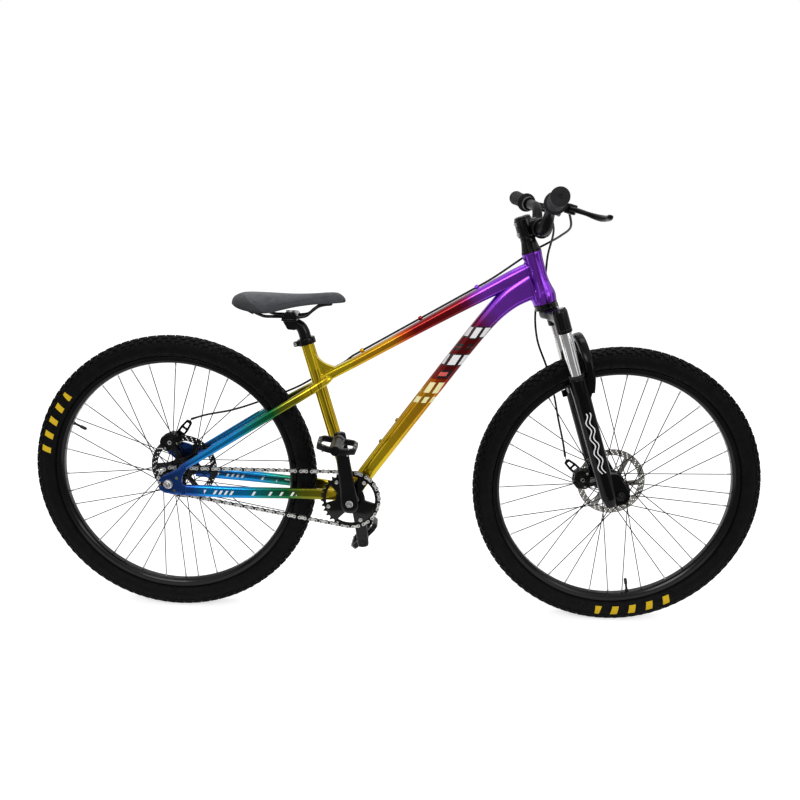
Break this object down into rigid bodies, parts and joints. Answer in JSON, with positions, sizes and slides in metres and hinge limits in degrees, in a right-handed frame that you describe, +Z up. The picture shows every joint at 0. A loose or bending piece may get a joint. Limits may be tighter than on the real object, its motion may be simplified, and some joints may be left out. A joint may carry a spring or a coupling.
{
  "type": "stunt bike",
  "caption": "Dirt-jump stunt bike with a shaped alloy frame, suspension fork, low saddle, single-speed chain drive, knobby tyres and cable disc brakes.",
  "frame": {"origin": "on the ground midway between the wheel axles, in the plane of the wheels", "axes": "+X towards the front wheel, +Y towards the left side of the bike, +Z up"},
  "size_m": [1.6966, 0.7202, 1.0034],
  "materials": {
    "bright_steel": "bright steel",
    "cable_housing": "black housing",
    "chrome_tube": "polished chrome",
    "dark_steel": "dark steel",
    "gloss_black": "gloss black paint",
    "grip_rubber": "matt black rubber",
    "oil_slick_chrome": "polished alloy under a rainbow oil-slick chrome coat",
    "saddle_base": "moulded black plastic",
    "saddle_cover": "matt dark grey synthetic cover over foam",
    "satin_black": "satin black anodised",
    "tyre_rubber": "matt black rubber"
  },
  "bodies": {
    "frame": {"frame": "oil_slick_chrome", "headset_upper_cup": "gloss_black", "headset_lower_cup": "gloss_black", "bottom_bracket": "dark_steel", "seat_clamp": "gloss_black", "rear_caliper": "satin_black", "rear_axle": "bright_steel", "rear_axle_nut_left": "dark_steel", "rear_axle_nut_right": "dark_steel", "chain": "bright_steel", "rear_brake_cable": "cable_housing"},
    "seat": {"seatpost": "gloss_black", "saddle_clamp": "gloss_black", "saddle_rails": "dark_steel", "saddle_shell": "saddle_base", "saddle_cushion": "saddle_cover"},
    "steering": {"fork_crown": "gloss_black", "stanchion_left": "chrome_tube", "stanchion_right": "chrome_tube", "stem": "gloss_black", "stem_faceplate": "gloss_black", "stem_top_cap": "gloss_black", "headset_cone_spacer": "gloss_black", "handlebar": "gloss_black", "grip_left": "grip_rubber", "grip_right": "grip_rubber", "brake_perch_left": "satin_black", "brake_perch_right": "satin_black", "front_brake_cable": "cable_housing"},
    "left_lever": {"brake_lever_left": "satin_black"},
    "right_lever": {"brake_lever_right": "satin_black"},
    "fork_slider": {"fork_lowers": "gloss_black", "dust_seal_left": "grip_rubber", "dust_seal_right": "grip_rubber", "front_caliper": "satin_black", "front_axle": "bright_steel", "front_axle_nut_left": "dark_steel", "front_axle_nut_right": "dark_steel"},
    "front_brake_arm": {"front_caliper_arm": "satin_black"},
    "rear_brake_arm": {"rear_caliper_arm": "satin_black"},
    "front_wheel": {"front_spoked_hub": "satin_black", "front_rim": "gloss_black", "front_tyre": "tyre_rubber", "front_rotor": "bright_steel", "front_valve": "dark_steel"},
    "rear_wheel": {"rear_spoked_hub": "satin_black", "rear_rim": "gloss_black", "rear_tyre": "tyre_rubber", "rear_rotor": "bright_steel", "rear_valve": "dark_steel"},
    "freewheel": {"freewheel_cog": "dark_steel"},
    "crank": {"crank_spindle": "bright_steel", "crank_arm_right": "gloss_black", "crank_arm_left": "gloss_black", "chainring": "satin_black", "pedal_axle_right": "dark_steel", "pedal_axle_left": "dark_steel"},
    "right_pedal": {"pedal_right": "satin_black"},
    "left_pedal": {"pedal_left": "satin_black"}
  },
  "joints": [
    {"name": "steering_turn", "type": "hinge", "parent": "frame", "child": "steering", "pos_m": [0.28959, 0, 0.86989], "axis": [-0.3173, 0, 0.9483], "range_deg": [-70, 70], "deforming": ["rear_brake_cable", "front_brake_cable"]},
    {"name": "fork_travel", "type": "slide", "parent": "steering", "child": "fork_slider", "axis": [-0.3173, 0, 0.9483], "range_m": [0, 0.08], "stiffness_N_per_m": 8000, "springref_m": -0.01, "deforming": ["front_brake_cable"]},
    {"name": "front_wheel_spin", "type": "hinge", "parent": "fork_slider", "child": "front_wheel", "pos_m": [0.5158, 0, 0.3325], "axis": [0, 1, 0], "continuous": true},
    {"name": "rear_wheel_spin", "type": "hinge", "parent": "frame", "child": "rear_wheel", "pos_m": [-0.5158, 0, 0.3325], "axis": [0, 1, 0], "continuous": true},
    {"name": "crank_spin", "type": "hinge", "parent": "frame", "child": "crank", "pos_m": [-0.09993, 0, 0.298], "axis": [0, 1, 0], "continuous": true, "deforming": ["chain"]},
    {"name": "freewheel_spin", "type": "hinge", "parent": "frame", "child": "freewheel", "pos_m": [-0.5158, 0, 0.3325], "axis": [0, 1, 0], "continuous": true},
    {"name": "right_pedal_spin", "type": "hinge", "parent": "crank", "child": "right_pedal", "pos_m": [-0.12109, 0, 0.45659], "axis": [0, 1, 0], "continuous": true},
    {"name": "left_pedal_spin", "type": "hinge", "parent": "crank", "child": "left_pedal", "pos_m": [-0.07877, 0, 0.13941], "axis": [0, 1, 0], "continuous": true},
    {"name": "left_lever_pull", "type": "hinge", "parent": "steering", "child": "left_lever", "pos_m": [0.33379, 0.198, 0.96464], "axis": [0.2419, 0, 0.9703], "range_deg": [0, 18], "stiffness_Nm_per_rad": 1, "springref_deg": -8.59},
    {"name": "right_lever_pull", "type": "hinge", "parent": "steering", "child": "right_lever", "pos_m": [0.33379, -0.198, 0.96464], "axis": [-0.2419, 0, -0.9703], "range_deg": [0, 18], "stiffness_Nm_per_rad": 1, "springref_deg": -8.59},
    {"name": "front_brake_arm_turn", "type": "hinge", "parent": "fork_slider", "child": "front_brake_arm", "pos_m": [0.4434, 0, 0.3456], "axis": [0, 1, 0], "range_deg": [0, 22]},
    {"name": "rear_brake_arm_turn", "type": "hinge", "parent": "frame", "child": "rear_brake_arm", "pos_m": [-0.5302, 0, 0.4055], "axis": [0, 1, 0], "range_deg": [0, 22]},
    {"name": "seat_height", "type": "slide", "parent": "frame", "child": "seat", "axis": [-0.2815, 0, 0.9596], "range_m": [0, 0.07]}
  ],
  "couplings": [
    {"joint": "freewheel_spin", "follows": "crank_spin", "ratio": 2.2},
    {"joint": "front_brake_arm_turn", "follows": "left_lever_pull", "ratio": 1.2},
    {"joint": "rear_brake_arm_turn", "follows": "right_lever_pull", "ratio": 1.2}
  ]
}
